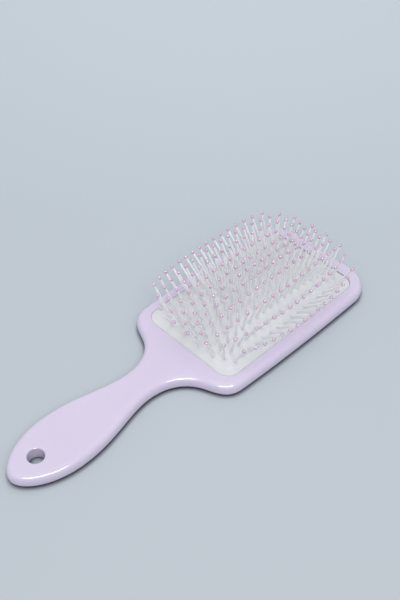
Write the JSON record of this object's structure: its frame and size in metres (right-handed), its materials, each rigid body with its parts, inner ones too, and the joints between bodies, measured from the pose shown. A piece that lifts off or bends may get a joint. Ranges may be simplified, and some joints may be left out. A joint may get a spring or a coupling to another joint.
{
  "type": "paddle hair brush",
  "caption": "Paddle hair brush with a flat moulded body, a domed air cushion of soft rubber and splayed ball-tipped pins that press in on the cushion.",
  "frame": {"origin": "on the back's plane, under the middle of the brush's length and width", "axes": "+X along the brush from the handle to the head, +Z out of the bristle side, +Y to the left when looking along +X from above"},
  "size_m": [0.25, 0.0894, 0.039],
  "materials": {
    "body_plastic": "glossy lilac moulding",
    "ring_plastic": "natural white moulding",
    "cushion_rubber": "satin, slightly translucent off-white",
    "pin_nylon": "frosted translucent nylon",
    "tip_plastic": "smooth pink-lilac balls"
  },
  "bodies": {
    "brush": {"paddle_body": "body_plastic", "retaining_ring": "ring_plastic", "cushion": "cushion_rubber"},
    "inner_pins": {"row_04_inner_pins": "pin_nylon", "row_05_inner_pins": "pin_nylon", "row_06_inner_pins": "pin_nylon", "row_07_inner_pins": "pin_nylon", "row_08_inner_pins": "pin_nylon", "row_04_inner_tips": "tip_plastic", "row_05_inner_tips": "tip_plastic", "row_06_inner_tips": "tip_plastic", "row_07_inner_tips": "tip_plastic", "row_08_inner_tips": "tip_plastic"},
    "middle_pins": {"row_02_middle_pins": "pin_nylon", "row_03_middle_pins": "pin_nylon", "row_04_middle_pins": "pin_nylon", "row_05_middle_pins": "pin_nylon", "row_06_middle_pins": "pin_nylon", "row_07_middle_pins": "pin_nylon", "row_08_middle_pins": "pin_nylon", "row_09_middle_pins": "pin_nylon", "row_10_middle_pins": "pin_nylon", "row_02_middle_tips": "tip_plastic", "row_03_middle_tips": "tip_plastic", "row_04_middle_tips": "tip_plastic", "row_05_middle_tips": "tip_plastic", "row_06_middle_tips": "tip_plastic", "row_07_middle_tips": "tip_plastic", "row_08_middle_tips": "tip_plastic", "row_09_middle_tips": "tip_plastic", "row_10_middle_tips": "tip_plastic"},
    "outer_pins": {"row_01_outer_pins": "pin_nylon", "row_02_outer_pins": "pin_nylon", "row_03_outer_pins": "pin_nylon", "row_04_outer_pins": "pin_nylon", "row_05_outer_pins": "pin_nylon", "row_06_outer_pins": "pin_nylon", "row_07_outer_pins": "pin_nylon", "row_08_outer_pins": "pin_nylon", "row_09_outer_pins": "pin_nylon", "row_10_outer_pins": "pin_nylon", "row_11_outer_pins": "pin_nylon", "row_01_outer_tips": "tip_plastic", "row_02_outer_tips": "tip_plastic", "row_03_outer_tips": "tip_plastic", "row_04_outer_tips": "tip_plastic", "row_05_outer_tips": "tip_plastic", "row_06_outer_tips": "tip_plastic", "row_07_outer_tips": "tip_plastic", "row_08_outer_tips": "tip_plastic", "row_09_outer_tips": "tip_plastic", "row_10_outer_tips": "tip_plastic", "row_11_outer_tips": "tip_plastic"}
  },
  "joints": [
    {"name": "inner_press", "type": "slide", "parent": "brush", "child": "inner_pins", "axis": [0, 0, -1], "range_m": [0, 0.0035], "stiffness_N_per_m": 2500, "deforming": ["cushion"]},
    {"name": "middle_press", "type": "slide", "parent": "brush", "child": "middle_pins", "axis": [0, 0, -1], "range_m": [0, 0.0024]},
    {"name": "outer_press", "type": "slide", "parent": "brush", "child": "outer_pins", "axis": [0, 0, -1], "range_m": [0, 0.0012]}
  ],
  "couplings": [
    {"joint": "middle_press", "follows": "inner_press", "ratio": 0.68},
    {"joint": "outer_press", "follows": "inner_press", "ratio": 0.33}
  ]
}
